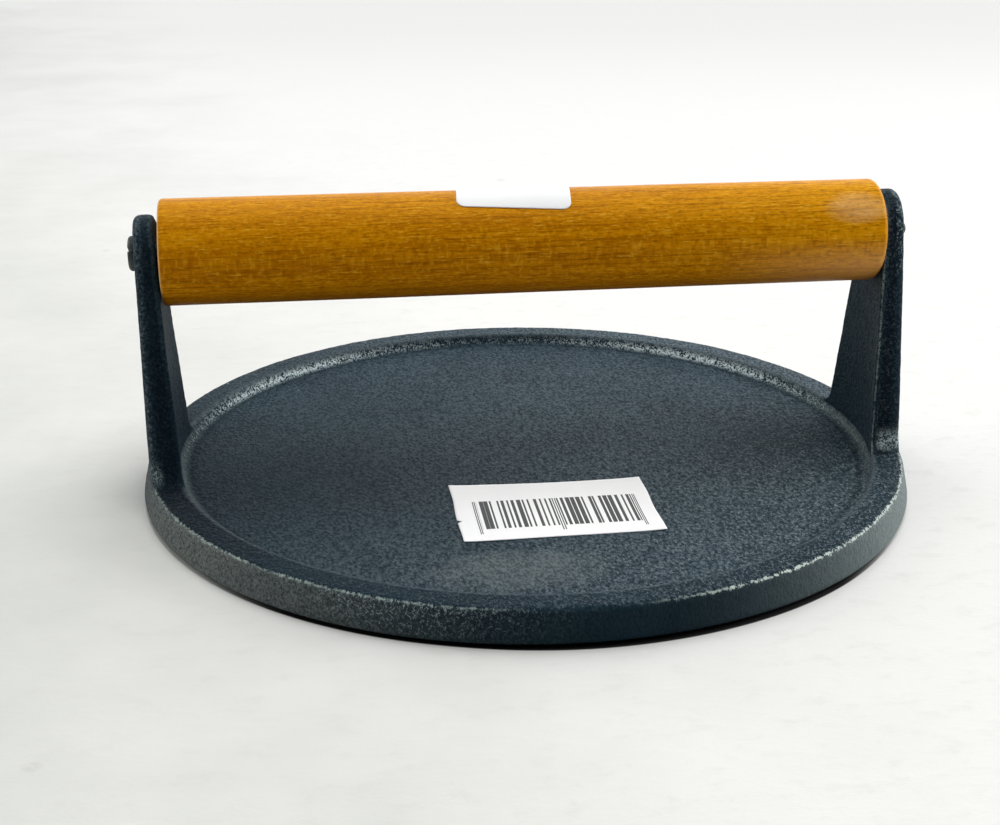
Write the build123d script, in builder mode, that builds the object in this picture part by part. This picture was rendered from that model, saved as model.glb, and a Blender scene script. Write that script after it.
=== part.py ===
"""Round cast-iron press with a turned wooden handle that spins on a long slotted screw.

The casting is a flat plate with a raised rim and two upright ears, poured in one piece.
X runs along the handle, Y from front to back, Z up. The origin is the centre of the
plate's underside. All sizes are in millimetres, and all angles in degrees.
"""
import os
from math import cos, degrees, radians, sin, tan

from build123d import *

os.makedirs("parts", exist_ok=True)

# Plate
plate_radius = 89.3  # at the sharp corner under the rounded top edge
plate_height = 8.0
side_draft = 1.8  # how much wider the foot is than the top edge
top_edge_round = 1.4
foot_edge_round = 1.6
rim_width = 6.8
recess_depth = 2.5
recess_wall_draft = 1.5
rim_inner_round = 0.7
recess_corner_round = 2.3

# Ears, each a slice of a ring wall that stands on the rim
handle_height = 57.6  # axis of the screw above the table
ear_top_radius = 9.0
ear_flank_angle = 9.3  # how far each flank leans out from upright
ear_foot_fillet = 4.0
ear_root_depth = 2.4  # how far the ear's root runs down inside the rim
ear_inner_overhang = 0.3  # how far the ear's inner face stands in front of the rim's inner corner
ear_outer_setback = 0.1  # from the plate's corner to the foot of the ear's outer face
ear_inner_draft = 1.6  # between the rim and the screw's axis
ear_outer_draft = 0.7
ear_outer_round = 1.5
ear_inner_round = 0.9

# Handle
handle_radius = 12.1
handle_end_play = 0.7  # free space between each end and the ear, at the axis
handle_end_round = 1.2
handle_bore_clearance = 0.1

# Screw
screw_radius = 2.0
ear_hole_clearance = 0.05
head_radius = 4.0
head_height = 1.8
head_edge_round = 0.9
slot_width = 1.2
slot_depth = 1.1
slot_angle = 32.0  # where the screw came to rest, front end of the slot up
tip_length = 2.3  # how far the rounded tip stands out of the right ear
tip_round = 1.9

# Paper labels
paper_thickness = 0.15
glue_thickness = 0.03
plate_label_length = 44.5
plate_label_width = 30.0
plate_label_centre = (1.95, -35.9)
handle_label_length = 26.0
handle_label_width = 12.0  # measured around the handle
handle_label_corner = 2.0
handle_label_shift = -3.2  # along the handle, from its middle
handle_label_turn = 37.3  # from the handle's top forward to the label's lower edge

# Sizes that follow from those above
recess_radius = plate_radius - rim_width
recess_floor_radius = recess_radius - recess_wall_draft
recess_floor = plate_height - recess_depth
ear_rise = handle_height - plate_height
ear_inner_foot = recess_radius - ear_inner_overhang
ear_inner_at_axis = ear_inner_foot + ear_inner_draft
ear_outer_foot = plate_radius - ear_outer_setback
ear_outer_at_axis = ear_outer_foot - ear_outer_draft
handle_half_length = ear_inner_at_axis - handle_end_play
turning_axis = Axis((0, 0, handle_height), (1, 0, 0))


def drafted_radius(foot, at_axis, height):
    """Radius of an ear's face at a height: foot at the rim's top, at_axis at the screw."""
    return foot + (at_axis - foot) * (height - plate_height) / ear_rise


def plane_through_handle(forward_turn):
    """Plane through the screw's axis: x along it, y outward, turned forward from upright."""
    lean = radians(forward_turn)
    return Plane(origin=(0, 0, handle_height), x_dir=(1, 0, 0), z_dir=(0, -cos(lean), -sin(lean)))


# Plate, one profile spun about the upright axis
with BuildPart() as plate:
    with BuildSketch(Plane.XZ):
        with BuildLine():
            FilletPolyline(
                (0, 0),
                (plate_radius + side_draft, 0),
                (plate_radius, plate_height),
                (recess_radius, plate_height),
                (recess_floor_radius, recess_floor),
                (0, recess_floor),
                radius=(foot_edge_round, top_edge_round, rim_inner_round, recess_corner_round),
            )
            Line((0, recess_floor), (0, 0))
        make_face()
    revolve(axis=Axis.Z)

# Both ears, a drafted ring wall cut to the ears' outline as seen from the side
ear_root = plate_height - ear_root_depth
ring_top = handle_height + 2 * ear_top_radius
flank = radians(ear_flank_angle)
flank_top = (ear_top_radius * cos(flank), handle_height + ear_top_radius * sin(flank))
flank_foot = ear_top_radius / cos(flank) + ear_rise * tan(flank)
ledge_end = flank_foot + ear_foot_fillet

with BuildPart() as ears:
    with BuildSketch(Plane.XZ):
        with BuildLine():
            Polyline(
                (drafted_radius(ear_inner_foot, ear_inner_at_axis, ear_root), ear_root),
                (drafted_radius(ear_outer_foot, ear_outer_at_axis, ear_root), ear_root),
                (drafted_radius(ear_outer_foot, ear_outer_at_axis, ring_top), ring_top),
                (drafted_radius(ear_inner_foot, ear_inner_at_axis, ring_top), ring_top),
                close=True,
            )
        make_face()
    revolve(axis=Axis.Z)
    with BuildSketch(Plane.YZ):
        with BuildLine():
            FilletPolyline(
                flank_top,
                (flank_foot, plate_height),
                (ledge_end, plate_height),
                (ledge_end, ear_root),
                (-ledge_end, ear_root),
                (-ledge_end, plate_height),
                (-flank_foot, plate_height),
                (-flank_top[0], flank_top[1]),
                radius=(ear_foot_fillet, 0, 0, 0, 0, ear_foot_fillet),
            )
            ThreePointArc(
                (-flank_top[0], flank_top[1]),
                (0, handle_height + ear_top_radius),
                flank_top,
            )
        make_face()
    extrude(amount=plate_radius + side_draft, both=True, mode=Mode.INTERSECT)
    above_root = plate_height - ear_root_depth / 4
    curved_faces = ears.faces().filter_by(GeomType.CONE).sort_by(lambda face: abs(face.center().X))
    inner_edges = curved_faces[:2].edges().filter_by(lambda edge: edge.center().Z > above_root)
    fillet(inner_edges, ear_inner_round)
    curved_faces = ears.faces().filter_by(GeomType.CONE).sort_by(lambda face: abs(face.center().X))
    outer_edges = curved_faces[-2:].edges().filter_by(lambda edge: edge.center().Z > above_root)
    fillet(outer_edges, ear_outer_round)

# Casting: the plate and both ears, with the screw's holes
with BuildPart() as press_base:
    add(plate.part)
    add(ears.part)
    with BuildSketch(Plane.YZ):
        with Locations((0, handle_height)):
            Circle(screw_radius + ear_hole_clearance)
    extrude(amount=plate_radius + side_draft, both=True, mode=Mode.SUBTRACT)
press_base.part.label = "press_base"
export_step(press_base.part, "parts/press_base.step")

# Handle, a turned cylinder with rounded ends and a bore right through
with BuildPart() as handle:
    with BuildSketch(plane_through_handle(0)):
        with BuildLine():
            FilletPolyline(
                (-handle_half_length, screw_radius + handle_bore_clearance),
                (-handle_half_length, handle_radius),
                (handle_half_length, handle_radius),
                (handle_half_length, screw_radius + handle_bore_clearance),
                radius=(handle_end_round, handle_end_round),
            )
            Line(
                (handle_half_length, screw_radius + handle_bore_clearance),
                (-handle_half_length, screw_radius + handle_bore_clearance),
            )
        make_face()
    revolve(axis=turning_axis)
handle.part.label = "handle"
export_step(handle.part, "parts/handle.step")

# Screw: slotted head outside the left ear, shank through the handle, tip past the right ear.
# The ear leans in towards its top, so the head's lowest point is what seats on it.
head_seat = -drafted_radius(ear_outer_foot, ear_outer_at_axis, handle_height - head_radius)
head_face = head_seat - head_height
tip_end = ear_outer_at_axis + tip_length
with BuildPart() as handle_screw:
    with BuildSketch(plane_through_handle(0)):
        with BuildLine():
            FilletPolyline(
                (head_face, 0),
                (head_face, head_radius),
                (head_seat, head_radius),
                (head_seat, screw_radius),
                (tip_end, screw_radius),
                (tip_end, 0),
                radius=(head_edge_round, 0, 0, tip_round),
            )
            Line((tip_end, 0), (head_face, 0))
        make_face()
    revolve(axis=turning_axis)
    with BuildSketch(Plane(origin=(head_face, 0, handle_height), x_dir=(0, 1, 0), z_dir=(1, 0, 0))):
        Rectangle(3 * head_radius, slot_width, rotation=-slot_angle)
    extrude(amount=slot_depth, mode=Mode.SUBTRACT)
handle_screw.part.label = "handle_screw"
export_step(handle_screw.part, "parts/handle_screw.step")

# Label stuck flat on the floor of the recess
with BuildPart() as plate_label:
    with BuildSketch(Plane.XY.offset(recess_floor)):
        with Locations(plate_label_centre):
            Rectangle(plate_label_length, plate_label_width)
    extrude(amount=paper_thickness)
plate_label.part.label = "plate_label"
export_step(plate_label.part, "parts/plate_label.step")

# Label wrapped over the top of the handle, cut from a curved sheet to its rounded outline
label_inside = handle_radius + glue_thickness
half_wrap = handle_label_width / label_inside / 2
label_middle_turn = handle_label_turn - degrees(half_wrap)
middle = radians(label_middle_turn)
label_middle_plane = Plane(
    origin=(0, 0, handle_height), x_dir=(1, 0, 0), z_dir=(0, -sin(middle), cos(middle))
)
with BuildPart() as handle_label:
    with BuildSketch(plane_through_handle(label_middle_turn)):
        with Locations((handle_label_shift, label_inside)):
            Rectangle(handle_label_length, paper_thickness, align=(Align.CENTER, Align.MIN))
    revolve(axis=turning_axis)
    with BuildSketch(label_middle_plane):
        with Locations((handle_label_shift, 0)):
            RectangleRounded(
                handle_label_length, 2 * label_inside * sin(half_wrap), handle_label_corner
            )
    extrude(amount=2 * label_inside, mode=Mode.INTERSECT)
handle_label.part.label = "handle_label"
export_step(handle_label.part, "parts/handle_label.step")
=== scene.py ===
# %% [markdown]
# # A cast-iron press with a wooden handle
#
# The object is a round, flat casting with a raised rim. Two ears grow out of the rim, and a
# long slotted screw runs between them through a turned and varnished wooden handle. Two paper
# labels are stuck on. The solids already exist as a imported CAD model, so this notebook loads
# them as a fixed frame and dresses them: it makes denser skins where the real surface is
# rough or worn, and gives every piece a finish.

# %% Load the fixed frame
from math import atan2, cos, pi, radians, sin, tan

import bmesh
import bpy
import numpy as np
from mathutils import Matrix, Vector


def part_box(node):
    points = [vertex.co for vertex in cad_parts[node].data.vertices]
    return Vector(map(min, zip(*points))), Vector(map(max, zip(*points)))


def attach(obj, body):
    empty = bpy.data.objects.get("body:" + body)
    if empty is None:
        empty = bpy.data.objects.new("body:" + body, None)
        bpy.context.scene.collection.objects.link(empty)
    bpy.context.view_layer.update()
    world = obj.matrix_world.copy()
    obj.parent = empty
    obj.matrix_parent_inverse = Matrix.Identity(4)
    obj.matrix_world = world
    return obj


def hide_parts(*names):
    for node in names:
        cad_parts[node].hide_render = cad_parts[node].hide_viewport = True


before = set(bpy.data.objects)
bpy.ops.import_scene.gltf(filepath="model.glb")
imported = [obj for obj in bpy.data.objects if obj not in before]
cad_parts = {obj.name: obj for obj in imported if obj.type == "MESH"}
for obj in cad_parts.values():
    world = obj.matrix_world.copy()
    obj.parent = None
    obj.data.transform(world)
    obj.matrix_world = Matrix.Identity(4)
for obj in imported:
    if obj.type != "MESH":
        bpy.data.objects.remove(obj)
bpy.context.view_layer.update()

# %% [markdown]
# ## Units
#
# The frame is in metres, but a maker thinks of a press in millimetres. So all sizes below are
# in millimetres, and one number makes metres of them for a mesh or a lamp.

# %% Millimetres, and sizes from the frame
MM = 0.001


def corners_mm(node):
    """Lowest and highest corner of a CAD node, in millimetres, as two numpy rows."""
    return [np.array(corner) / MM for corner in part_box(node)]


casting_high = corners_mm("press_base")[1]
handle_low, handle_high = corners_mm("handle")
foot_radius = casting_high[1]
ear_top = casting_high[2]
axis_height = (handle_low[2] + handle_high[2]) / 2
handle_radius = (handle_high[2] - handle_low[2]) / 2
handle_half_length = handle_high[0]
print(f"foot radius {foot_radius:.2f}, ear top {ear_top:.2f}, axis {axis_height:.2f}")
print(f"handle radius {handle_radius:.2f}, half length {handle_half_length:.2f}")

# %% [markdown]
# ## Camera
#
# The viewpoint was found by fitting the rim's ellipses, the ears and the handle's edges. It
# is written the way a photographer would say it: how far round, how high, how far away, what
# it looks at, and a lens. Building the matrix from those keeps every number readable, where a
# pasted matrix would hide them. The same helper aims the lamps.

# %% The photographer's viewpoint
azimuth = radians(-6.794)  # round from straight in front, towards the screw's head
elevation = radians(20.679)
camera_distance = 415.896
camera_target = Vector((-6.044, 0.057, 15.313))
camera_roll = -0.117


def aimed(place, aim, roll=0.0):
    """World matrix at place that looks at aim, turned by roll degrees about its line of sight."""
    place, aim = Vector(place) * MM, Vector(aim) * MM
    turn = (place - aim).to_track_quat("Z", "Y").to_matrix().to_4x4()
    return Matrix.Translation(place) @ turn @ Matrix.Rotation(radians(roll), 4, "Z")


def in_scene(name, data):
    """New object in the scene that shows a mesh, a camera or a lamp."""
    thing = bpy.data.objects.new(name, data)
    bpy.context.scene.collection.objects.link(thing)
    return thing


back = Vector((sin(azimuth) * cos(elevation), -cos(azimuth) * cos(elevation), sin(elevation)))
camera_place = camera_target + back * camera_distance
camera_data = bpy.data.cameras.new("camera")
camera_data.lens = 62.47  # in millimetres, as is the sensor
camera_data.sensor_fit = "HORIZONTAL"
camera_data.sensor_width = 36.0
camera_data.clip_start = 10 * MM
camera = in_scene("camera", camera_data)
camera.matrix_world = aimed(camera_place, camera_target, camera_roll)
bpy.context.scene.camera = camera
bpy.context.scene.view_settings.view_transform = "Standard"
print("camera at", [round(c, 1) for c in camera_place])

# %% [markdown]
# ## Shader arithmetic
#
# A material is a graph of nodes, and drawing one by hand or line by line soon hides the idea
# behind it. A small class that wraps a socket lets Python's own operators add the Math nodes,
# so a formula in the notebook reads like the formula itself.


# %% A socket that takes part in sums
class Field:
    """A number that varies over a surface. Each operator on it adds one Math node."""

    def __init__(self, graph, socket):
        self.graph, self.socket = graph, socket

    def math(self, operation, *others):
        sockets = dict(enumerate((self, *others)))
        return self.graph.node("Math", {"operation": operation}, sockets)

    def __add__(self, other):
        return self.math("ADD", other)

    def __sub__(self, other):
        return self.math("SUBTRACT", other)

    def __rsub__(self, other):
        return (self * -1).math("ADD", other)

    def __mul__(self, other):
        return self.math("MULTIPLY", other)

    def __truediv__(self, other):
        return self.math("DIVIDE", other)

    def __pow__(self, other):
        return self.math("POWER", other)

    __radd__, __rmul__ = __add__, __mul__

    def __abs__(self):
        return self.math("ABSOLUTE")

    def root(self):
        return self.math("SQRT")

    def floor(self):
        return self.math("FLOOR")

    def ease(self, start, end):
        """0 before start, 1 after end, and a smooth step between. Start may be above end."""
        settings = {"interpolation_type": "SMOOTHSTEP", "clamp": True}
        flip = start > end
        low, high = sorted((start, end))
        sockets = {"Value": self, "From Min": low, "From Max": high,
                   "To Min": float(flip), "To Max": float(not flip)}
        return self.graph.node("MapRange", settings, sockets)


# %% A graph of nodes
class Graph:
    """The nodes of one material or of the world."""

    def __init__(self, owner):
        owner.use_nodes = True
        self.tree = owner.node_tree

    def node(self, kind, settings=None, sockets=None, output=0):
        """Adds a node, sets its settings and then its sockets, and wraps one output."""
        node = self.tree.nodes.new("ShaderNode" + kind)
        for name, value in (settings or {}).items():
            setattr(node, name, value)
        self.feed(node, sockets or {})
        return Field(self, node.outputs[output])

    def feed(self, node, sockets):
        """Links each socket that is given a field, and sets the others' constant values."""
        for name, value in sockets.items():
            socket = node.inputs[name]
            if isinstance(value, Field):
                self.tree.links.new(value.socket, socket)
            elif socket.type == "RGBA":
                socket.default_value = (*value, 1.0)
            else:
                socket.default_value = value

    def split(self, vector):
        """The three parts of a vector."""
        return [self.node("SeparateXYZ", {}, {"Vector": vector}, axis) for axis in "XYZ"]

    def mix(self, factor, first, second):
        """Colour first where factor is 0, second where it is 1."""
        settings = {"data_type": "RGBA", "clamp_factor": True}
        return self.node("Mix", settings, {0: factor, 6: first, 7: second}, output=2)

    def layers(self, base, *coats):
        """Base colour with coats laid over it in turn. Each coat is a share and a colour."""
        for share, colour in coats:
            base = self.mix(share, base, colour)
        return base


# %% A material under construction
def oval(across, up, centre, reach):
    """1 in the middle of an oval and 0 outside it, from squared distances in its reaches."""
    far = ((across - centre[0]) / reach[0]) ** 2 + ((up - centre[1]) / reach[1]) ** 2
    return far.ease(1.0, 0.0)


class Finish(Graph):
    """One material, with the place on the object in millimetres at hand as x, y, z."""

    def __init__(self, name):
        self.material = bpy.data.materials.new(name)
        super().__init__(self.material)
        self.shader = self.tree.nodes["Principled BSDF"]
        here = self.node("TexCoord", output="Object")
        scaled = {"operation": "SCALE"}
        self.place = self.node("VectorMath", scaled, {"Vector": here, "Scale": 1 / MM})
        self.x, self.y, self.z = self.split(self.place)

    def noise(self, size, detail=2.0, scale=(1, 1, 1), shift=(0, 0, 0), rough=0.5, warp=0.0):
        """Cloudy pattern from 0 to 1 with lumps about size / scale millimetres across."""
        moved = {"Vector": self.place, "Location": shift, "Scale": scale}
        sockets = {"Vector": self.node("Mapping", {}, moved), "Scale": 1 / size,
                   "Detail": detail, "Roughness": rough, "Distortion": warp}
        return self.node("TexNoise", {}, sockets)

    def dots(self, spacing, radius):
        """1 in soft dots scattered about spacing apart. The radius is a share of the spacing."""
        sockets = {"Vector": self.place, "Scale": 1 / spacing}
        return self.node("TexVoronoi", {}, sockets, "Distance").ease(radius, 0.02)

    def attribute(self, name):
        """A number that a numpy formula stored at each point of the piece."""
        return self.node("Attribute", {"attribute_name": name}, output="Fac")

    def bump(self, height):
        """Normal from a height in millimetres."""
        return self.node("Bump", {}, {"Height": height, "Distance": MM, "Strength": 1.0})

    def done(self, **sockets):
        """Feeds the surface shader. Spaces in its sockets' names are written as underscores."""
        self.feed(self.shader, {name.replace("_", " "): value for name, value in sockets.items()})
        return self.material


# %% [markdown]
# ## Skins from formulas
#
# A new piece starts as whole arrays of points: one function of two parameters on a grid. The
# grid is turned into quads, points that coincide at seams and poles are welded, and the faces
# are turned outwards. This beats modelling by hand because the size of every quad is chosen,
# and roughness can be added to each point later by another formula.


# %% Points to mesh
def write_mark(mesh, name, values):
    """Stores one number per point."""
    layer = mesh.attributes.new(name, "FLOAT", "POINT")
    layer.data.foreach_set("value", np.asarray(values, np.float32).ravel())


def grid_faces(rows, columns, start=0):
    """Four corner indices of each quad of a rows by columns grid of points, from start on."""
    first = start + np.arange(rows - 1)[:, None] * columns + np.arange(columns - 1)[None, :]
    return np.stack([first, first + 1, first + columns + 1, first + columns], -1).reshape(-1, 4)


def make_piece(name, points, faces, marks=None):
    """Mesh object from points in millimetres and faces, welded and turned outwards.

    Marks are numbers stored at each point, by name, for later formulas and the materials.
    """
    mesh = bpy.data.meshes.new(name)
    mesh.from_pydata(np.asarray(points) * MM, [], np.asarray(faces).tolist())
    for mark, values in (marks or {}).items():
        write_mark(mesh, mark, values)
    shell = bmesh.new()
    shell.from_mesh(mesh)
    bmesh.ops.remove_doubles(shell, verts=shell.verts, dist=0.001 * MM)
    bmesh.ops.recalc_face_normals(shell, faces=shell.faces)
    shell.to_mesh(mesh)
    shell.free()
    mesh.shade_smooth()
    piece = in_scene(name, mesh)
    open_edges = len(mesh.edges) * 2 - len(mesh.loops)
    print(name, len(mesh.vertices), "points", len(mesh.polygons), "faces", open_edges, "open edges")
    return piece


def read_points(piece):
    """The piece's points in millimetres and its normals, as two arrays of rows."""
    mesh = piece.data
    points, normals = (np.empty(len(mesh.vertices) * 3, np.float32) for _ in range(2))
    mesh.vertices.foreach_get("co", points)
    mesh.vertex_normals.foreach_get("vector", normals)
    return points.reshape(-1, 3).astype(float) / MM, normals.reshape(-1, 3).astype(float)


def write_points(piece, points):
    piece.data.vertices.foreach_set("co", (points * MM).astype(np.float32).ravel())
    piece.data.update()


def read_mark(piece, name):
    values = np.empty(len(piece.data.vertices), np.float32)
    piece.data.attributes[name].data.foreach_get("value", values)
    return values.astype(float)


# %% Smooth noise in numpy, and lines with rounded corners
def lumps(points, size, seed):
    """Noise from -1 to 1 with lumps about size millimetres across.

    Space is cut into cubes of that size with a random number at each corner. A point takes
    the blend of its cube's eight corners, eased so that cubes join without a crease.
    """
    table = np.random.default_rng(seed)
    numbers, order = table.uniform(-1, 1, 256), table.permutation(256)
    scaled = points / size
    cell = np.floor(scaled).astype(int)
    part = scaled - cell
    part = part * part * (3 - 2 * part)
    total = np.zeros(len(points))
    for corner in np.ndindex(2, 2, 2):
        weight = np.prod(np.where(corner, part, 1 - part), axis=1)
        i, j, k = ((cell + corner) % 256).T
        total += weight * numbers[order[(order[(order[i] + j) % 256] + k) % 256]]
    return total


def held(values):
    """The values, held between 0 and 1."""
    return np.clip(values, 0, 1)


def rounded_path(corners, radii, step):
    """Points every step or so along straight runs whose corners are rounded by arcs.

    Each arc touches both of its runs: it starts radius times tan(half the turn) before the
    corner, and its points lie radius away from a centre on the corner's bisector.
    """
    corners = np.array(corners, float)
    path = [corners[0]]
    for before, corner, after, radius in zip(corners, corners[1:], corners[2:], radii):
        into = (corner - before) / np.linalg.norm(corner - before)
        out = (after - corner) / np.linalg.norm(after - corner)
        turn = atan2(into[0] * out[1] - into[1] * out[0], into @ out)
        side = np.sign(turn) * np.array([-into[1], into[0]])
        start = corner - into * radius * tan(abs(turn) / 2)
        centre = start + side * radius
        for angle in np.linspace(0, turn, max(2, int(abs(turn) * radius / step) + 3)):
            path.append(centre + radius * (sin(abs(angle)) * into - cos(angle) * side))
    path.append(corners[-1])
    return np.array(path)


def even_steps(path, step):
    """The same line with points about step apart, measured along it."""
    length = np.concatenate([[0], np.cumsum(np.linalg.norm(np.diff(path, axis=0), axis=1))])
    wanted = np.linspace(0, length[-1], int(length[-1] / step) + 2)
    return np.stack([np.interp(wanted, length, path[:, k]) for k in range(path.shape[1])], 1)


# %% [markdown]
# ## The plate
#
# The real plate was poured in a sand mould: a flat disc with a raised rim round a shallow
# recess. Its skin keeps the sand's grain, the rim's edge is nicked, and the wall of the
# recess is the roughest part. A profile spun about the upright axis gives the disc, and the
# profile has short steps where the surface is curved or rough and long ones where it is flat.

# %% Plate sizes
rim_top = 8.0
side_draft = 1.8
corner_radius = foot_radius + 0.37 - side_draft  # where the side would meet the rim's top
rim_width = 6.8
recess_depth = 2.5
recess_wall_lean = 1.5
foot_round, top_round, inner_round, recess_round = 1.6, 1.4, 0.7, 2.3
recess_radius = corner_radius - rim_width
recess_floor = rim_top - recess_depth
plate_turn_steps = 1020
print(f"corner radius {corner_radius:.2f}, recess radius {recess_radius:.2f}")


# %% Plate profile
def plate_profile():
    """(radius, height) pairs from the middle of the underside out, up, and in to the middle."""
    fine, coarse = 0.46, 3.6  # steps where the surface is curved or rough, and where it is flat
    fine_under, fine_inside = 6.0, 7.0  # how far in the fine steps go, below and in the recess
    corners = [
        (foot_radius - fine_under, 0),
        (corner_radius + side_draft, 0),
        (corner_radius, rim_top),
        (recess_radius, rim_top),
        (recess_radius - recess_wall_lean, recess_floor),
        (recess_radius - fine_inside, recess_floor),
    ]
    rim = even_steps(
        rounded_path(corners, (foot_round, top_round, inner_round, recess_round), fine / 2), fine)
    under = np.linspace(0, rim[0][0], 9)[:-1]
    floor = np.arange(rim[-1][0], 0, -coarse)[1:]
    return np.concatenate([
        np.stack([under, np.zeros(len(under))], 1), rim,
        np.stack([floor, np.full(len(floor), recess_floor)], 1), [(0, recess_floor)]])


def spun_about_z(profile, steps):
    """Each profile point (r, z) goes round a circle: x = r cos t, y = r sin t, z stays."""
    turn = np.linspace(0, 2 * pi, steps + 1)
    turn[-1] = 0.0
    radius, height = profile.T
    return np.stack([np.outer(np.cos(turn), radius), np.outer(np.sin(turn), radius),
                     np.tile(height, (steps + 1, 1))], -1)


# %% Marks on the plate, and its foot raised by grinding
def plate_marks(profile):
    """Gaps to the rim's edges, shares on the recess's wall and on the crease at its foot, which
    gets painted shade, 1 where steps are fine.

    Each edge is the middle of its rounding, a little inside the sharp corner.
    """
    outer_edge = corner_radius - 0.45, rim_top - 0.4
    inner_edge = recess_radius + 0.1, rim_top - 0.1
    crease_in, crease_width = 2.9, 0.7
    radius, height = profile.T
    edge_gap = np.hypot(radius - outer_edge[0], height - outer_edge[1])
    inner_gap = np.hypot(radius - inner_edge[0], height - inner_edge[1])
    lift = (height - recess_floor) / recess_depth
    on_wall = np.where(radius < recess_radius, held(4 * lift), 0)
    on_wall *= held(1.9 - 2.0 * lift)
    crease = np.exp(-((radius - (recess_radius - crease_in)) / crease_width) ** 2) * (lift > -0.1)
    fine = held(radius - (recess_radius - 6))
    return {"edge_gap": edge_gap, "inner_gap": inner_gap, "on_wall": on_wall,
            "crease": crease, "fine": fine, "outward": 0 * radius}


foot_lift, foot_lift_at = 0.45, -72  # how much, and in which direction round the plate
foot_lift_left, foot_lift_right, bevel_width = 46, 27, 9.0


def raised_foot(points):
    """Lifts the foot's edge where it was ground away: most at foot_lift_at, none behind.

    The lift falls off round the plate like a bell, wider towards the left, fades to nothing
    at the rim's top and reaches bevel_width in under the plate.
    """
    radius, height = np.hypot(points[..., 0], points[..., 1]), points[..., 2]
    turn = np.degrees(np.arctan2(points[..., 1], points[..., 0])) - foot_lift_at
    turn = (turn + 180) % 360 - 180
    around = np.exp(-(turn / np.where(turn < 0, foot_lift_left, foot_lift_right)) ** 2)
    inward = held((radius - (foot_radius - bevel_width)) / bevel_width)
    lifted = points.copy()
    lifted[..., 2] += foot_lift * around * inward * held(1 - height / rim_top)
    return lifted


# %% Plate skin
profile = plate_profile()
plate_points = raised_foot(spun_about_z(profile, plate_turn_steps))
plate = make_piece(
    "plate_skin", plate_points.reshape(-1, 3), grid_faces(*plate_points.shape[:2]),
    {name: np.tile(mark, plate_turn_steps + 1) for name, mark in plate_marks(profile).items()})

# %% [markdown]
# ## The ears
#
# Each ear is a slice of a ring wall that stands on the rim, wide at its foot and round at its
# top. It was poured with the plate. Its skin is made in strips: one set of points runs round
# the ear's outline, the other runs from the middle of the inner face out to the edge, over
# the edge, and back to the middle of the outer face. That puts many small quads along the
# rounded edges, where castings show their grain and wear.

# %% Ear sizes
ear_top_radius = ear_top - axis_height
flank_lean = radians(9.3)
ear_foot_fillet = 4.0
ear_root = rim_top - 2.4
ear_inner_foot, ear_inner_axis = recess_radius - 0.3, recess_radius + 1.3
ear_outer_foot, ear_outer_axis = corner_radius - 0.1, corner_radius - 0.8
ear_inner_round, ear_outer_round = 0.9, 1.5
screw_hole = 2.05
ear_lean_out = {-1: 0.45, 1: -0.3}  # the left ear leans out a little and the right one in
ear_extra_height = {-1: -0.45, 1: 0.4}


# %% Ear outline
def ear_outline(step):
    """(y, z) round the ear seen from its end, closed, starting at the middle of its root.

    Flanks leaning by flank_lean touch a top arc about the screw's axis, and end in fillets
    that run out on the rim. A short root goes down inside the rim.
    """
    ledge_width, ledge_sunk, foot_sunk, ledge_round = 1.0, 0.15, 0.02, 0.4
    rise = axis_height - rim_top
    foot = ear_top_radius / cos(flank_lean) + rise * tan(flank_lean)
    ledge = foot + ear_foot_fillet + ledge_width
    touch = (ear_top_radius * cos(flank_lean), axis_height + ear_top_radius * sin(flank_lean))
    side = rounded_path(
        [(0, ear_root), (ledge, ear_root), (ledge, rim_top - ledge_sunk),
         (foot, rim_top - foot_sunk), touch],
        (ledge_round, ledge_round, ear_foot_fillet), step / 3)
    angles = np.arange(flank_lean, pi / 2, step / 3 / ear_top_radius)[1:]
    top = np.stack([ear_top_radius * np.cos(angles),
                    axis_height + ear_top_radius * np.sin(angles)], 1)
    half = even_steps(np.concatenate([side, top, [(0, ear_top)]]), step)
    return np.concatenate([half, half[-2::-1] * (-1, 1)])


def ear_face_radius(foot, at_axis, height):
    """Distance of a face from the plate's axis: it leans evenly from foot to at_axis."""
    return foot + (at_axis - foot) * (height - rim_top) / (axis_height - rim_top)


# %% Ear skin
def ear_foot_band(points, outward, side):
    """1 low on the ear's front, where the sand is coarser and painted glints go, fading upwards and
    backwards.
    """
    above_rim = points[..., 2] - rim_top
    front_foot = held(-points[..., 1] / 8 - 1) * held(above_rim / 2)
    front_foot *= held(1.6 - above_rim / 3.5)
    return front_foot * held(3 * outward - (2 if side < 0 else 0))


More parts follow.
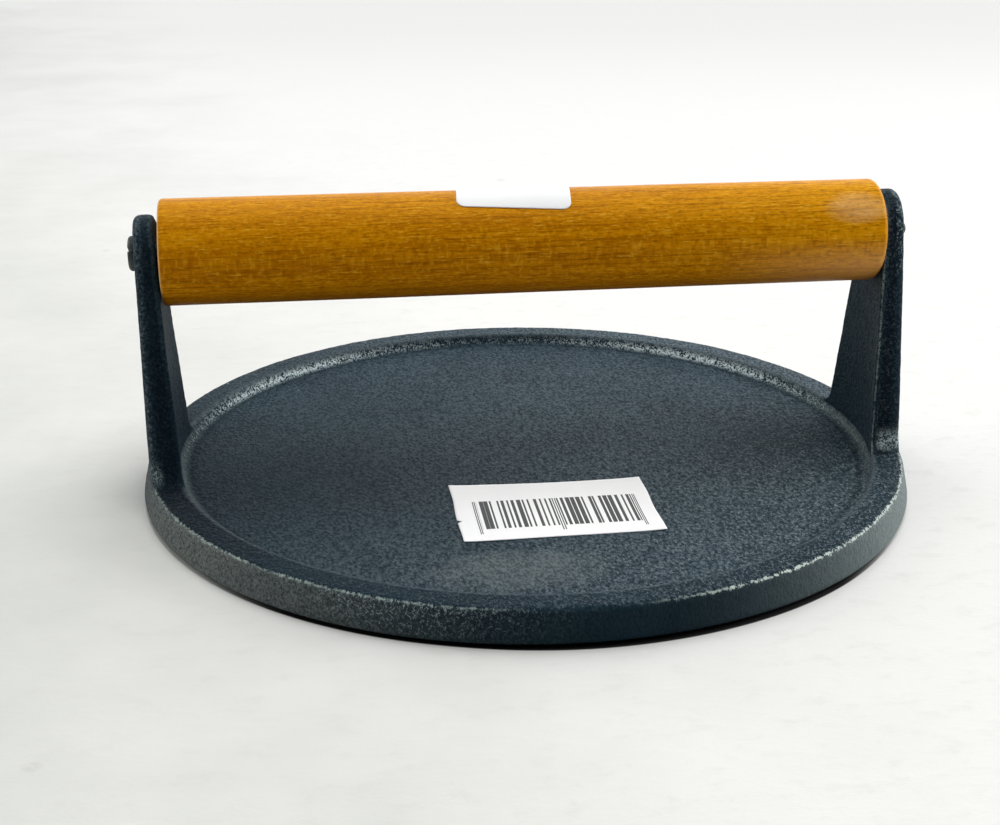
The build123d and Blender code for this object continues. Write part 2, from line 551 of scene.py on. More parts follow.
def ear_skin(side, step=0.6, face_steps=16, flank_steps=7, crowding=0.8):
    """Points and faces of the ear at side * x.

    For each outline point, inset moves it in square to the outline. The section goes from
    the spine along the inner face, round the inner edge, across the flank, round the outer
    edge and back to the spine. The spine is the screw's hole above and the middle below.
    """
    outline = ear_outline(step)
    along = np.gradient(np.concatenate([outline[-2:-1], outline, outline[1:2]]), axis=0)[1:-1]
    inward = np.stack([-along[:, 1], along[:, 0]], 1) / np.linalg.norm(along, axis=1)[:, None]

    centre = np.stack([0 * outline[:, 0], np.clip(outline[:, 1], rim_top, axis_height)], 1)
    away = outline - centre
    level = np.clip(axis_height - outline[:, 1], 0, screw_hole)
    reach = np.sqrt(screw_hole ** 2 - level ** 2) / np.linalg.norm(away, axis=1)
    spine = centre + away * reach[:, None]

    def on_face(share, rounding, outer):
        edge = outline + inward * rounding
        gap = np.linalg.norm(edge - spine, axis=1) * (1 - share) + rounding * pi / 4
        return spine * (1 - share) + edge * share, outer, 0.0, gap

    def on_edge(angle, rounding, outer):
        inset, depth = rounding * (1 - sin(angle)), rounding * (1 - cos(angle))
        gap = rounding * abs(angle - pi / 4) + 0 * outline[:, 0]
        return outline + inward * inset, outer, depth * (1 - 2 * outer), gap

    quarter = np.linspace(0, pi / 2, 5)
    face_shares = np.linspace(0, 1, face_steps)[:-1] ** crowding
    thickness = ear_outer_foot - ear_inner_foot
    columns = [on_face(share, ear_inner_round, 0.0) for share in face_shares]
    columns += [on_edge(angle, ear_inner_round, 0.0) for angle in quarter]
    for share in np.linspace(0, 1, flank_steps)[1:-1]:
        depth = ear_inner_round * (1 - share) - ear_outer_round * share
        gap = thickness * min(share, 1 - share) + ear_inner_round * pi / 4
        columns.append((outline, share, depth, gap + 0 * outline[:, 0]))
    columns += [on_edge(angle, ear_outer_round, 1.0) for angle in quarter[::-1]]
    columns += [on_face(share, ear_outer_round, 1.0) for share in face_shares[::-1]]

    flat, gaps = (np.stack([column[k] for column in columns], 1) for k in (0, 3))
    outward, depth = (np.array([column[k] for column in columns]) for k in (1, 2))
    y, z = flat[..., 0], flat[..., 1]
    inner = ear_face_radius(ear_inner_foot, ear_inner_axis + ear_lean_out[side], z)
    outer = ear_face_radius(ear_outer_foot, ear_outer_axis + ear_lean_out[side], z)
    radius = inner * (1 - outward) + outer * outward + depth
    above_axis = held((z - axis_height) / ear_top_radius)
    points = np.stack([side * np.sqrt(radius ** 2 - y ** 2), y,
                       z + ear_extra_height[side] * above_axis], -1)
    count, across = points.shape[:2]
    faces = grid_faces(count, across)
    in_hole = np.hypot(points[:, 0, 1], points[:, 0, 2] - axis_height) < screw_hole + 0.001
    in_hole &= points[:, 0, 2] > axis_height - screw_hole
    wrap = np.nonzero(in_hole[:-1] | in_hole[1:])[0]
    first, last = wrap * across, wrap * across + across - 1
    hole = np.stack([last, first, first + across, last + across], 1)
    outward = np.tile(outward, (count, 1))
    far_from_edge = 9.0
    marks = {"edge_gap": gaps, "inner_gap": 0 * gaps + far_from_edge, "crease": 0 * gaps,
             "fine": 0 * gaps + 1, "outward": outward,
             "on_wall": ear_foot_band(points, outward, side)}
    return points.reshape(-1, 3), np.concatenate([faces, hole]), marks


ears = [make_piece(f"ear_{name}", *ear_skin(side)) for name, side in (("left", -1), ("right", 1))]

# %% [markdown]
# ## Sand, nicks, rubbed edges, and painted light and shade
#
# A casting is never as even as its drawing. Here every point of the skins moves a little
# along its normal: broad swells that the mould left, pebbles of the size of the sand, coarse
# ones on the recess's wall, and nicks along the rim's edge where the press was knocked. The
# same formula says where the coat is rubbed off, so that the pale spots sit on the nicks. It
# also says where light and shade are painted into the colour: shade by the ears and on their
# fronts, sheen on the rim and on upward faces, glints and edge highlights.


# %% Where the casting is worn, and where light and shade are painted
def facing(points, direction, sharpness):
    """1 on the side of the plate that faces a direction in degrees, falling off round it."""
    around = points[:, :2] / np.maximum(np.hypot(points[:, 0], points[:, 1]), 1)[:, None]
    towards = around @ (cos(radians(direction)), sin(radians(direction)))
    return held(towards) ** sharpness


def spot(points, centre, reach):
    """1 at a place on the plate, falling off smoothly over a reach in x and y."""
    away = (points[:, :2] - centre) / reach
    return np.exp(-np.sum(away ** 2, axis=1))


def plate_looks(points, *_):
    """Worn edge with a painted highlight, dusting with painted sheen, painted glints and painted
    shade, each as a share.

    Directions are degrees round the plate: -90 is the front and 180 is the screw's head.
    """
    radius = np.hypot(points[:, 0], points[:, 1])
    on_rim = radius > recess_radius
    # The pale line on the rim's edge is worn coat and partly a painted highlight, strongest
    # front-left and front-right.
    knocked_and_sheen = 0.04 + facing(points, -45, 3) + 0.56 * facing(points, -138, 3)
    knocked_and_sheen *= 1 - 0.95 * facing(points, -90, 40)
    # Painted shadow: less dust and sheen on the recess where the ears and the handle shade it.
    dark_left, dark_right = spot(points, (-62, -14), (36, 44)), spot(points, (66, -2), (26, 17))
    settled_and_sheen = 0.15 * (1 - 0.85 * dark_left) * (1 - 0.9 * dark_right)
    settled_and_sheen *= 1 - 0.35 * spot(points, (-45, 40), (40, 35))
    # Painted sheen: the rim's top is paler behind and towards the back right, and darker at the
    # left.
    behind = held(0.5 + points[:, 1] / 40)
    rim_dust_and_sheen = 0.03 + behind * (0.14 + 0.12 * facing(points, 45, 3))
    rim_dust_and_sheen *= 1 - 0.9 * facing(points, -165, 1)
    settled_and_sheen = np.where(on_rim, rim_dust_and_sheen, settled_and_sheen)
    # Painted glints, most towards the front right and near the smudge.
    painted_glints = 0.09 + 0.52 * facing(points, -38, 2) * radius / 85
    painted_glints += 0.2 * spot(points, (-10, -66), (26, 10))
    # Painted shade on the rim beside both ears.
    painted_shade = on_rim * (0.9 * facing(points, -168, 8) + 0.7 * facing(points, -2, 60))
    return knocked_and_sheen, settled_and_sheen, painted_glints, painted_shade


def ear_looks(points, outward, edge_gap):
    """The same shares of an ear: a worn inner edge, painted highlights on its top and edges,
    painted glints and painted shade on its fronts.
    """
    x, y, z = points.T
    front, right = held((-y - 2) / 5), x > 0
    knocked_and_sheen = 0.3 * right * front * (outward < 0.1)
    # Painted highlights on the top's outer corner, on the inner face and beside its edge, and on
    # the left ear's outer edge.
    top_corner = held((z - 58) / 8) * held(3 * outward - 2)
    inner_face = (outward < 0.02) * held((z - 20) / 40)
    beside_edge = right * front * (outward < 0.02) * np.exp(-((edge_gap - 1.9) / 0.9) ** 2)
    outer_edge = ~right * front * (outward > 0.7) * np.exp(-(edge_gap / 0.9) ** 2)
    settled_and_sheen = 0.03 + 0.2 * top_corner + 0.10 * inner_face + 0.12 * beside_edge + 0.2 * outer_edge
    # Painted glints on the right ear's high outer corner and front, and on the left ear's outer
    # edge.
    high_corner = right * held((z - 48) / 6) * (outward > 0.7)
    painted_glints = 0.05 + 0.10 * right * front + 0.7 * high_corner + 0.3 * outer_edge
    # Painted shade on the ears' fronts.
    low = held(1 - (z - rim_top) / 6)
    flank = front * (outward > 0) * held(3 - 3 * outward)
    painted_shade = flank * np.where(right, 0.75, np.maximum(0.55, 0.9 * low * facing(points, -168, 8)))
    return knocked_and_sheen, settled_and_sheen, painted_glints, painted_shade


# %% Roughen the casting
swell_height, swell_size = 0.06, 12.0
wave_height, wave_size = 0.05, 3.2
pebble_height, pebble_size = 0.045, 1.1
sand_height, sand_size = 0.03, 0.7
knock_depth, knock_size = 0.25, 1.7


def roughen(piece, looks):
    """Moves each point along its normal by swells, pebbles and nicks, none of them underneath."""
    points, normals = read_points(piece)
    edge_gap, on_wall, fine, outward = (
        read_mark(piece, name) for name in ("edge_gap", "on_wall", "fine", "outward"))
    side = held((np.hypot(points[:, 0], points[:, 1]) - corner_radius + 0.5) / 0.5)
    side *= points[:, 2] < rim_top
    knocked_and_sheen, settled_and_sheen, painted_glints, painted_shade = looks(points, outward, edge_gap)
    upward = held(normals[:, 2]) ** 2
    inner_face = outward + upward < 0.02
    on_ear = points[:, 2] > rim_top + 0.5
    marks = {
        "knocked_and_sheen": held(knocked_and_sheen),
        # Dusting with painted sheen, more on upward faces, on the ears and beside their edges.
        "settled_and_sheen": settled_and_sheen * np.maximum(upward, 0.5 * (inner_face | on_ear)) * (1 - on_wall),
        "painted_shade": held(painted_shade * (1 - side)),
        # Painted glints; on the side they sit high up towards the front left.
        "painted_glints": np.where(side > 0, facing(points, -116, 28) * points[:, 2] / 5, painted_glints),
        "dusty": side * facing(points, -150, 6),
        # The side's right gets pale streaks.
        "paler_right": side * facing(points, -27, 8),
        # How strong the painted glints on the recess's wall and the ears' feet are.
        "glint_strength": np.clip(facing(points, 133, 7) + facing(points, 46, 7)
                             + on_ear * np.where(points[:, 0] > 0, 0.75, 0.4), 0.12, 1),
        # Painted light in a band on the wall beside the ears.
        "painted_wall_light": on_wall * (facing(points, 2, 20) + 0.6 * facing(points, -175, 16)),
    }
    swells = swell_height * lumps(points, swell_size, 1)
    swells += wave_height * fine * lumps(points, wave_size, 2)
    coarseness = pebble_height + 0.05 * on_wall + 0.03 * marks["dusty"]
    pebbles = coarseness * lumps(points, pebble_size, 3)
    pebbles += sand_height * lumps(points, sand_size, 4)
    near_edge = np.exp(-(edge_gap / 0.6) ** 2)
    knocks = held(lumps(points, knock_size, 5))
    nicks = -knock_depth * marks["knocked_and_sheen"] * near_edge * knocks
    above_foot = held((points[:, 2] - 0.3) / 1.5)
    shift = above_foot * (swells + fine * (pebbles + nicks))
    shift = np.minimum(shift, np.where(points[:, 2] < 3, 0.0, 1.0))
    write_points(piece, points + normals * shift[:, None])
    for name, values in marks.items():
        write_mark(piece.data, name, values)
    print(f"{piece.name}: points moved by {shift.min():.2f} to {shift.max():.2f} mm")


for piece, looks in zip((plate, *ears), (plate_looks, ear_looks, ear_looks)):
    roughen(piece, looks)

# %% [markdown]
# ## Cast iron
#
# The casting wears a thin blue-black coat over the sand's grain. It looks slate grey where it
# lies flat, because at a low angle any coat mirrors the pale room, and nearly black where it
# faces the dark side of the room. So its own colour is very dark and the light does most of
# the rest; some light and shade is painted into the colour as well: shade by the ears and on
# their fronts, sheen on the rim and on upward faces, glints, edge highlights and a black
# shadow under the raised foot. Fine grain comes from a bump, and the pale, rubbed spots from
# a wear number on each point.

# %% Cast-iron patterns
def from_front(surface):
    """1 straight in front of the plate's middle, 0 beside it, -1 behind, a cosine between."""
    return surface.y * -1 / (surface.x * surface.x + surface.y * surface.y).root()


def cast_patterns(iron):
    """Gives the finish the patterns that its layers share, from broad to fine."""
    sand = (1.1, 0.62, 1)
    iron.cloud = iron.noise(26, 3.0, rough=0.6)
    iron.pebble = iron.noise(1.3, 1.0)
    iron.ripples = iron.noise(1.0, 2.0, (1.15, 0.85, 1.2), rough=0.6, warp=0.4)
    iron.grain = iron.noise(0.72, 3.0, sand, rough=0.65)
    iron.specks = iron.noise(0.42, 1.0, sand)


# %% The coat, its dust, and its painted shade, sheen and glints
def flat_coat(iron):
    """Coat, then painted shade, dusting with painted sheen, dark pits, painted glints on crests, a
    painted highlight on the recess's inner edge and painted shade in its crease.
    """
    cloud, grain, mark = iron.cloud, iron.grain, iron.attribute
    dust_and_sheen = mark("settled_and_sheen") * (0.25 + grain.ease(0.38, 0.68) * 1.45) * (0.75 + cloud * 0.5)
    pits = grain.ease(0.44, 0.32)
    # Painted glints on the crests of the grain.
    crests = abs(iron.ripples - 0.5).ease(0.05, 0.005) * grain.ease(0.42, 0.58)
    # Painted highlight along the recess's inner edge.
    inner_edge = mark("inner_gap").ease(1.1, 0.1) * (iron.pebble * 1.6 - 0.25)
    return iron.layers(
        iron.mix(cloud.ease(0.3, 0.7), (0.003, 0.015, 0.026), (0.008, 0.025, 0.037)),
        (mark("painted_shade"), (0.001, 0.005, 0.011)),
        (dust_and_sheen, (0.25, 0.325, 0.37)),
        (pits * 0.55, (0.001, 0.006, 0.012)),
        (mark("painted_glints") * crests, (0.32, 0.39, 0.42)),
        (inner_edge, (0.085, 0.115, 0.13)),
        (mark("crease") * 0.5, (0.003, 0.012, 0.020)))


# %% The dusty side, its paler right, the painted light on the wall, and the smudge
smudge_at, smudge_reach = (-10, -66), (26, 13)


def side_coat(iron, body):
    """Painted light in a band on the wall beside the ears, a dusty left side, pale streaks on the
    side's right, and a smudge.
    """
    grain, mark = iron.grain, iron.attribute
    dusty, streaks = mark("dusty"), iron.noise(0.5, 2.0, (1, 1, 0.25))
    smudge = iron.noise(9, 3.0, rough=0.6) * oval(iron.x, iron.y, smudge_at, smudge_reach)
    haze = smudge.ease(0.10, 0.6) * (0.35 + grain.ease(0.34, 0.66) * 0.5)
    return iron.layers(
        body,
        (mark("painted_wall_light") * (0.3 + grain * 0.6), (0.13, 0.17, 0.165)),
        (dusty * (iron.specks * 1.6 + grain - 0.60), (0.19, 0.21, 0.20)),
        (dusty * iron.ripples.ease(0.46, 0.34) * 0.5, (0.008, 0.020, 0.024)),
        (mark("paler_right") * (streaks + 0.5), (0.23, 0.275, 0.275)),
        (haze, (0.125, 0.155, 0.163)))


# %% Painted glints, the worn edge and the painted shadow under the foot
# The painted shadow under the raised foot, on the casting and on the floor, shows only towards the
# front.
foot_front = 0.50, 0.78  # from_front where the gap's black begins, and where it is full


def glints_and_worn_edge(iron, body):
    """Painted glints on the recess's wall and the ears' feet, a ragged pale line on the rubbed
    edges that is partly a painted highlight, and a few pale dots.
    """
    specks, pebble, mark = iron.specks, iron.pebble, iron.attribute
    glint_strength, knocked_and_sheen = mark("glint_strength"), mark("knocked_and_sheen")
    # Painted glints on the recess's wall and the ears' feet.
    glint = (specks * 0.7 + pebble * 0.3 + glint_strength * 0.10).ease(0.49, 0.66) * glint_strength
    ragged_gap = mark("edge_gap") + (pebble - 0.5) * 0.8 + (specks - 0.5) * 1.3
    line = ragged_gap.ease(0.42, 0.08) * (knocked_and_sheen * 1.5 + (specks - 0.5) * 2.4)
    return iron.layers(
        body,
        (mark("on_wall") * glint, (0.62, 0.75, 0.78)),
        (line * knocked_and_sheen.ease(0.02, 0.3),
         iron.mix(knocked_and_sheen.ease(0.5, 0.9), (0.40, 0.50, 0.46), (0.62, 0.71, 0.67))),
        (iron.dots(8.0, 0.045) * iron.cloud.ease(0.45, 0.6), (0.30, 0.34, 0.33)))


def cast_iron():
    iron = Finish("cast_iron")
    cast_patterns(iron)
    # Painted shadow: the foot's lowest millimetre turns black towards the front.
    painted_foot_shadow = iron.z.ease(1.15, 0.8) * from_front(iron).ease(*foot_front)
    body = iron.layers(glints_and_worn_edge(iron, side_coat(iron, flat_coat(iron))),
                       (painted_foot_shadow, (0.0005, 0.001, 0.0015)))
    height = iron.grain * 0.7 + iron.pebble * 0.10
    return iron.done(Base_Color=body, Roughness=0.50 + iron.cloud * 0.12,
                     Specular_IOR_Level=0.04, Normal=iron.bump(height))


iron_material = cast_iron()
for piece in (plate, *ears):
    piece.data.materials.append(iron_material)
    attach(piece, "press")
    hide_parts("press_base")

# %% [markdown]
# ## The handle
#
# The handle was turned from a beech dowel, bored from end to end, its ends eased with
# sandpaper, and varnished. The CAD cylinder is right, but the real one is a little uneven, so
# its skin is a closed profile (bore, end, outside, end) spun about the screw, with slow swells.

# %% Handle skin
handle_bore = 2.1
left_end_round, right_end_round = 0.8, 1.7  # the left end was sanded less
end_taper = 0.06, -0.16  # added to the radius at the left and at the right end by the lathe
end_reach = sanded_from = 4.0
sanding_depth, sanding_size = 0.05, 6.0


def handle_end(corner_round, fine):
    """(x, r) from the bore at the right end, out over the rounded corner and end_reach inwards."""
    corners = [(handle_half_length, handle_bore), (handle_half_length, handle_radius),
               (handle_half_length - end_reach, handle_radius)]
    return even_steps(rounded_path(corners, (corner_round,), fine / 2), fine)


def handle_skin(steps=180, fine=0.5, coarse=1.1):
    """The profile (r, x) spun about z, then laid down: z becomes x, and x becomes the height."""
    left = handle_end(left_end_round, fine) * (-1, 1)
    right = handle_end(right_end_round, fine)[::-1]
    body = np.arange(left[-1][0] + coarse, right[0][0], coarse)
    bore = np.linspace(handle_half_length, -handle_half_length, 12)[1:]
    outline = np.concatenate([
        left, np.stack([body, np.full(len(body), handle_radius)], 1), right,
        np.stack([bore, np.full(len(bore), handle_bore)], 1)])
    points = spun_about_z(outline[:, ::-1], steps)[..., ::-1] + (0, 0, axis_height)
    return points.reshape(-1, 3), grid_faces(*points.shape[:2])


grip = make_piece("handle_skin", *handle_skin())
grip_points, grip_normals = read_points(grip)
from_axis = np.hypot(grip_points[:, 1], grip_points[:, 2] - axis_height)
on_outside = held(from_axis - sanded_from)
sanding = sanding_depth * (lumps(grip_points / (3, 1, 1), sanding_size, 21) - 1)
taper = np.interp(grip_points[:, 0], (-handle_half_length, handle_half_length), end_taper)
write_points(grip, grip_points + grip_normals * ((sanding + taper) * on_outside)[:, None])
print(f"handle sanded by {sanding.min():.2f} to {sanding.max():.2f} mm")

# %% [markdown]
# ## Varnished beech
#
# Beech has thin ribbons of ray tissue that run from the heart outwards. Where the surface is
# cut along them they show as blocky patches, and where it is cut across them as short dark
# flecks. One solid pattern gives both, if its lumps are as long as a ribbon upwards, as high
# as one along the grain and as thin as one across. Wrapping a flat picture round the handle
# would show the same flecks on every side, so the pattern reads the place in space.

# %% Figure of the wood
def beech_patterns(wood):
    """Gives the finish its ribbons, pores, streaks, rings and lines, all long along x."""
    wood.ribbons = wood.noise(1.0, 1.5, (0.9, 3.0, 0.30), rough=0.6)
    wood.pores = wood.noise(1.0, 2.0, (0.34, 2.4, 2.4), (5, 2, 9), rough=0.6)
    wood.streaks = wood.noise(1.0, 3.0, (0.06, 0.55, 0.9), (3, 0, 4), warp=0.4)
    wood.lines = wood.noise(1.0, 2.0, (0.035, 1.7, 1.7), (8, 3, 1), warp=0.3)
    rings = wood.noise(1.0, 1.0, (0.008, 0.10, 0.33), (0, 7, 2), warp=0.8)
    wood.tone = (wood.streaks * 0.6 + rings * 0.4).ease(0.32, 0.68)
    wood.along = wood.x / handle_half_length
    wood.up = (wood.z - axis_height) / handle_radius


def beech_figure(wood):
    """Slow tones, lighter above and towards the right end as painted light, with lines, ribbons and
    pores over them.
    """
    # Painted light: lighter towards the top and the right end.
    paler = wood.along.ease(0.0, 1.3) * 0.4 + wood.up.ease(0.2, 1.0) * 0.25
    return wood.layers(
        wood.mix(wood.tone, (0.50, 0.165, 0.0), (0.68, 0.262, 0.001)),
        (paler, (0.95, 0.44, 0.004)),
        (wood.lines.ease(0.53, 0.66) * 0.5, (0.33, 0.10, 0.0)),
        (wood.ribbons.ease(0.52, 0.70) * 0.4, (0.30, 0.085, 0.0)),
        (wood.ribbons.ease(0.46, 0.30) * 0.35, (0.90, 0.47, 0.02)),
        (wood.pores.ease(0.54, 0.70) * 0.55, (0.26, 0.07, 0.0)),
        (wood.pores.ease(0.42, 0.28) * 0.45, (0.98, 0.58, 0.05)))


# %% Wood finish
# Where a painted gloss highlight sits, on top of the right end.
gloss_at, gloss_reach = (76, axis_height + 7.5), (9, 3.5)


def varnished_beech():
    wood = Finish("varnished_beech")
    beech_patterns(wood)
    painted_gloss = oval(wood.x, wood.z, gloss_at, gloss_reach) * wood.y.ease(0, -4) * wood.streaks
    pale_ends = abs(wood.x).ease(handle_half_length - 0.5, handle_half_length - 0.1)
    colour = wood.layers(
        beech_figure(wood),
        # Painted reflection: a tan sheen low on the right end.
        (wood.along.ease(0.45, 1.0) * wood.up.ease(0.15, -0.5) * 0.4, (0.70, 0.38, 0.19)),
        # Painted highlight: a whitish gloss on top of the right end.
        (painted_gloss * 0.35, (0.95, 0.80, 0.58)),
        # Painted shade: darker underneath.
        (wood.up.ease(-0.35, -1.0) * 0.6, (0.12, 0.035, 0.0)),
        # Paler at the very ends.
        (pale_ends * 0.7, (0.85, 0.55, 0.25)))
    height = wood.pores.ease(0.75, 0.50) * 0.03 + wood.streaks * 0.05 + wood.ribbons * 0.03
    return wood.done(
        Base_Color=colour, Roughness=0.34 + wood.tone * 0.1, IOR=1.12,
        Specular_Tint=(1.0, 0.8, 0.5), Normal=wood.bump(height))


grip.data.materials.append(varnished_beech())
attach(grip, "grip")
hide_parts("handle")

# %% [markdown]
# ## The screw
#
# The screw's slotted head and rounded tip are small and exactly as the CAD has them, so that
# node stays and only gets a finish: dull dark plating, scuffed by the screwdriver.

# %% Screw finish
def screw_steel():
    steel = Finish("screw_steel")
    blotches = steel.noise(1.6, 3.0, rough=0.6)
    scuffs = steel.noise(0.5, 2.0, (1, 0.25, 2.0))
    colour = steel.layers(
        steel.mix(blotches.ease(0.35, 0.65), (0.012, 0.022, 0.020), (0.06, 0.075, 0.068)),
        (scuffs.ease(0.6, 0.75) * 0.8, (0.34, 0.38, 0.35)))
    return steel.done(Base_Color=colour, Metallic=0.3, Roughness=0.42 + blotches * 0.25,
                      Normal=steel.bump(scuffs * 0.05 + blotches * 0.06))


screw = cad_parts["handle_screw"]
screw.data.materials.clear()
screw.data.materials.append(screw_steel())

# %% [markdown]
# ## The paper labels
#
# Both labels are thin white stickers. The one in the recess lies a little crooked, with edges
# that aren't quite straight, corners that begin to lift and a small nick in its left edge. The
# one on the handle wraps over the top, slightly turned. Each is one grid of points given a
# thickness by a second, deeper copy. The print is only a row of bars that a formula draws at
# random: it spells nothing, and the places where text would go stay white.

# %% Paper sheets
paper_thickness = 0.14


def paper_slab(name, top, deeper, print_at):
    """Closed slab from a grid of upper points and the way down, with its print coordinates.

    Walking once round the section of each row, top and then bottom, closes all but the two
    ends, and each end is closed by its own narrow strip.
    """
    bottom = top + deeper
    rows, columns = top.shape[:2]
    ring = np.concatenate([top, bottom[:, ::-1], top[:, :1]], 1)
    faces = [grid_faces(rows, ring.shape[1])]
    points = [ring.reshape(-1, 3)]
    for edge in (0, rows - 1):
        start = sum(len(p) for p in points)
        strip = np.stack([top[edge], bottom[edge]])
        points.append(strip.reshape(-1, 3))
        faces.append(grid_faces(2, columns, start))
    both = np.concatenate([print_at, print_at[:, ::-1], print_at[:, :1]], 1)
    marks = [both.reshape(-1, 2)] + [np.tile(print_at[edge], (2, 1)) for edge in (0, rows - 1)]
    print_u, print_v = np.concatenate(marks).T
    return make_piece(name, np.concatenate(points), np.concatenate(faces),
                      {"print_u": print_u, "print_v": print_v})


def unit_grid(rows, columns):
    """(u, v) on a grid of rows up v and columns along u."""
    return np.stack(np.meshgrid(np.linspace(0, 1, columns), np.linspace(0, 1, rows)), -1)


# %% Label in the recess
label_near = np.array([(-20.06, -51.36), (24.37, -50.17)])  # left and right corner in the photo
label_far = np.array([(-20.45, -20.88), (23.97, -21.17)])
nick_v, nick_depth, nick_half_height, nick_fade = 0.35, 1.3, 0.022, 0.04
wave_left, wave_far, corner_lift = 0.15, 0.30, 0.22


def recess_label():
    """Corners blended evenly across u and v, then edges waved, corners lifted and a nick cut."""
    uv = unit_grid(70, 90)
    u, v = uv[..., :1], uv[..., 1:]
    near, far = (left * (1 - u) + right * u for left, right in (label_near, label_far))
    flat = near * (1 - v) + far * v
    edge_u, edge_v = np.abs(2 * u - 1) ** 8, np.abs(2 * v - 1) ** 8
    flat[..., 0:1] += wave_left * edge_u * np.sin(9 * v + 1)
    flat[..., 1:2] += wave_far * edge_v * (v * np.cos(5.5 * u) - 0.2)
    nick = held(1 - np.abs(v - nick_v) / nick_half_height)
    flat[..., 0:1] += nick_depth * nick * held(1 - u / nick_fade)
    lift = corner_lift * (edge_u * edge_v) + 0.03 * (1 + np.sin(5 * u + 3 * v))
    top = np.concatenate([flat, recess_floor + paper_thickness + lift], -1)
    return paper_slab("recess_label", top, np.array([0, 0, -paper_thickness]), uv)


# %% Label on the handle
def handle_label():
    """Rounded rectangle laid on the handle: s runs round it from the top, forwards.

    Near the two short edges a row is shorter by the corner radius less its circle's height.
    """
    length, width, corner = 26.0, 12.0, 2.0
    middle_x, front_s, skew = -3.2, 7.88, radians(-4.1)
    uv = unit_grid(48, 60)
    u, v = uv[..., 0], uv[..., 1]
    across = (v - 0.5) * width
    beyond = np.clip(np.abs(across) - (width / 2 - corner), 0, corner)
    half = length / 2 - corner + np.sqrt(corner ** 2 - beyond ** 2)
    along = (2 * u - 1) * half
    x = middle_x + along * cos(skew) - across * sin(skew)
    s = front_s - width / 2 - (along * sin(skew) + across * cos(skew))
    radius = handle_radius + paper_thickness
    turn = s / handle_radius
    outward = np.stack([0 * turn, -np.sin(turn), np.cos(turn)], -1)
    top = np.stack([x, -radius * np.sin(turn), axis_height + radius * np.cos(turn)], -1)
    return paper_slab("handle_label_skin", top, -outward * paper_thickness, uv)


plate_sticker, handle_sticker = recess_label(), handle_label()

# %% Paper finish
bar_count = 30
bars_start, bars_width, bars_foot, bars_top = 0.095, 0.83, 0.19, 0.69  # shares of the label
guard_bars = (0.0073, 0.0036), (0.4985, 0.0030), (0.4880, 0.0030)  # from the middle, half width


def printed_bars(paper):
    """1 where a row of upright bars is printed: each has its own random width and place.

    The row is cut into equal steps with one bar in each, and three pairs of thin guard bars,
    at both ends and in the middle, reach a little further down.
    """
    along = (paper.attribute("print_u") - bars_start) / bars_width
    up = paper.attribute("print_v")
    step = (along * bar_count).floor()
    within = along * bar_count - step
    chance, other = (
        paper.node("TexWhiteNoise", {"noise_dimensions": "1D"}, {"W": step * rate + start})
        for rate, start in ((0.37, 4.0), (0.53, 9.0)))
    half = 0.17 + (chance * 3).floor() * 0.11
    centre = half + (1.0 - half * 2) * other
    bar = (abs(within - centre) - half).ease(0.03, -0.03)
    from_middle = abs(along - 0.5)
    guard_zone = from_middle.ease(0.478, 0.480) + from_middle.ease(0.017, 0.015)
    pair = 0.0
    for place, half_width in guard_bars:
        pair = (abs(from_middle - place) - half_width).ease(0.001, -0.001) + pair
    bar = guard_zone * pair + (1.0 - guard_zone) * bar
    inside = from_middle.ease(0.504, 0.5035) * up.ease(bars_top, bars_top - 0.006)
    return bar * inside * (up - (bars_foot - guard_zone * 0.08)).ease(-0.004, 0.004)


def label_paper(name, printed):
    """White paper with faint fibres, and black bars where printed."""
    paper = Finish(name)
    fibres = paper.noise(0.7, 3.0, rough=0.7)
    stain = paper.noise(12, 2.0)
    colour = paper.mix(stain.ease(0.3, 0.7), (0.93, 0.94, 0.95), (0.965, 0.975, 0.98))
    if printed:
        ink = printed_bars(paper) * (fibres * 0.08 + 0.92)
        colour = paper.mix(ink, colour, (0.012, 0.013, 0.017))
    return paper.done(Base_Color=colour, Roughness=0.5, Specular_IOR_Level=0.2,
                      Normal=paper.bump(fibres * 0.012))


for piece, node, body, printed in ((plate_sticker, "plate_label", "press", True),
                                   (handle_sticker, "handle_label", "grip", False)):
    piece.data.materials.append(label_paper("paper_" + node, printed))
    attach(piece, body)
    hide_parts(node)

# %% [markdown]
# ## Floor and light
#
# The photo was taken on a pale sheet with white surroundings, open and dark towards the
# camera. The sheet's tone goes from grey on the left to white on the right, painted shade
# of light that falls off to the left, with a few smudges. One broad lamp hangs overhead, a
# little to the right, and two weak ones at the sides draw the shape of the ears. The sheet
# glows faintly far out, where the lamps don't reach, so that it stays pale behind the press
# from every side. Under the foot's raised front edge the sheet has a painted black shadow.

# %% Floor
floor_half_size = 4000.0


def make_floor():
    """Flat square sheet that the press stands on."""
    mesh = bpy.data.meshes.new("floor")
    corners = np.array([(-1, -1, 0), (1, -1, 0), (1, 1, 0), (-1, 1, 0)]) * floor_half_size
    mesh.from_pydata(corners * MM, [], [(0, 1, 2, 3)])
    sheet = in_scene("floor", mesh)
    return sheet


def painted_gap_shadow(sheet, radius):
    """Painted shadow: 1 under the foot's front edge and a little outside it, widest where the foot
    is raised.
    """
    towards = radians(foot_lift_at)
    open_gap = (sheet.x * cos(towards) + sheet.y * sin(towards)) / radius
    gap = (radius - open_gap.ease(0.8, 1.0) * 0.7).ease(foot_radius + 0.1, foot_radius - 0.3)
    return gap * from_front(sheet).ease(*foot_front)


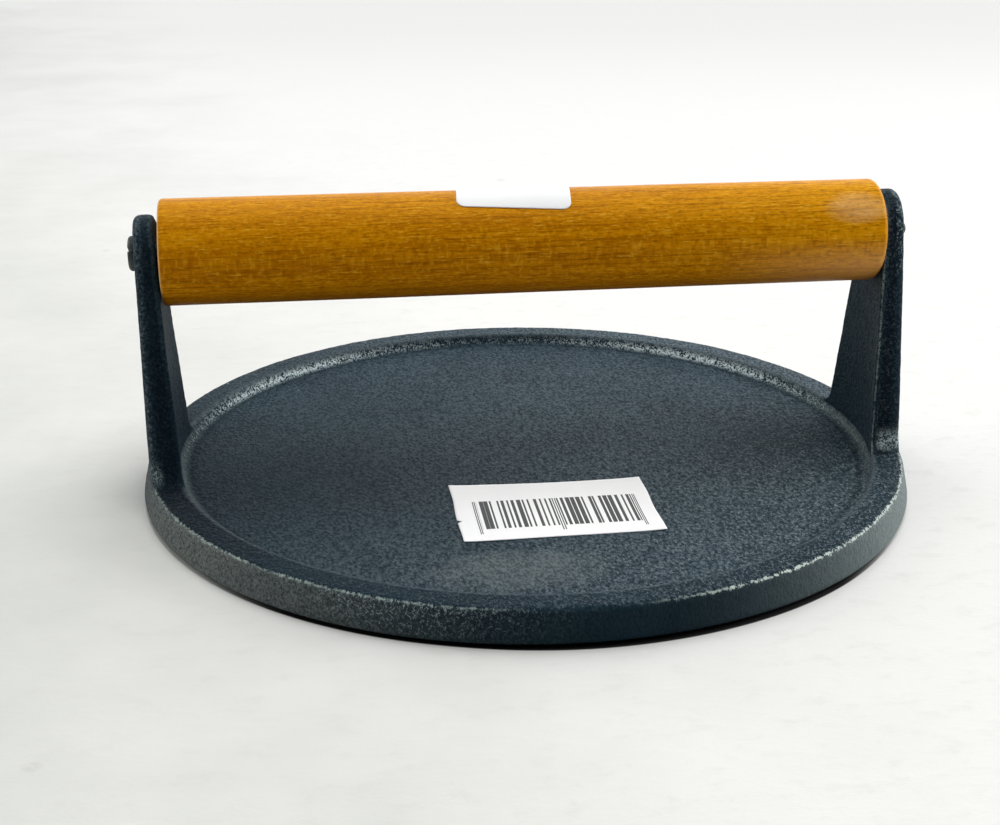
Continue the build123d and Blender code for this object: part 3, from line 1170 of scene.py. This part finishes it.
def pale_floor():
    sheet = Finish("pale_floor")
    clouds = sheet.noise(70, 4.0, rough=0.6)
    mottles = sheet.noise(6, 4.0, (0.7, 1.1, 1), rough=0.65)
    # The sheet's tone with cloudy patches, darker to the left and towards the front as painted
    # shade.
    tone_and_shade = (sheet.x * 0.003 + sheet.y * 0.0006 + 0.8 + (clouds - 0.5) * 0.7).ease(0, 1)
    smudges = sheet.dots(28, 0.09) * mottles.ease(0.42, 0.58)
    radius = (sheet.x * sheet.x + sheet.y * sheet.y).root()
    colour = sheet.layers(
        sheet.mix(tone_and_shade, (0.576, 0.592, 0.548), (0.831, 0.831, 0.815)),
        (mottles.ease(0.5, 0.75) * 0.25, (0.60, 0.60, 0.57)),
        (smudges * 0.4, (0.42, 0.41, 0.38)),
        (sheet.y.ease(40, 700), sheet.mix(tone_and_shade, (0.70, 0.71, 0.685), (0.95, 0.95, 0.94))),
        (sheet.y.ease(-200, -600), (0.86, 0.86, 0.845)),
        # Painted shadow under the foot's raised front edge.
        (painted_gap_shadow(sheet, radius), (0.002, 0.002, 0.002)))
    far_glow = sheet.mix(tone_and_shade, (0.50, 0.50, 0.49), (0.62, 0.62, 0.61))
    glow = sheet.mix(radius.ease(600, 1700), (0.0, 0.0, 0.0), far_glow)
    return sheet.done(Base_Color=colour, Roughness=0.85, Normal=sheet.bump(mottles * 0.15),
                      Emission_Color=glow, Emission_Strength=1.0)


floor = make_floor()
floor.data.materials.append(pale_floor())

# %% Lamps
def softbox(name, place, aim, width, height, watts):
    """Area lamp at place, turned to shine on aim, in millimetres and watts."""
    lamp = bpy.data.lights.new(name, "AREA")
    lamp.shape, lamp.size, lamp.size_y, lamp.energy = "RECTANGLE", width * MM, height * MM, watts
    in_scene(name, lamp).matrix_world = aimed(place, aim)
    print(name, "at", place, watts, "W")


softbox("lamp_overhead", (120, 40, 1100), (0, 0, 0), 1400, 600, 9.6)
softbox("lamp_right", (750, 60, 260), (0, 0, 20), 700, 420, 2.1)
softbox("lamp_left", (-750, 130, 240), (0, 0, 20), 700, 380, 1.8)

# %% World
backdrop_white = 0.92  # what the camera sees past the floor's edge
world = bpy.data.worlds.new("studio")
bpy.context.scene.world = world
surroundings = Graph(world)
background = surroundings.tree.nodes["Background"]
across, deep, high = surroundings.split(surroundings.node("TexCoord", output="Generated"))
behind = deep.ease(-0.2, 0.5)
brightness = (0.9 + across * 0.4) * (0.05 + behind * (1.7 - high.ease(0.2, 0.9) * 1.1))
seen = surroundings.node("LightPath", output="Is Camera Ray")
surroundings.feed(background, {
    "Color": (1.0, 1.0, 0.99), "Strength": brightness + seen * (backdrop_white - brightness)})
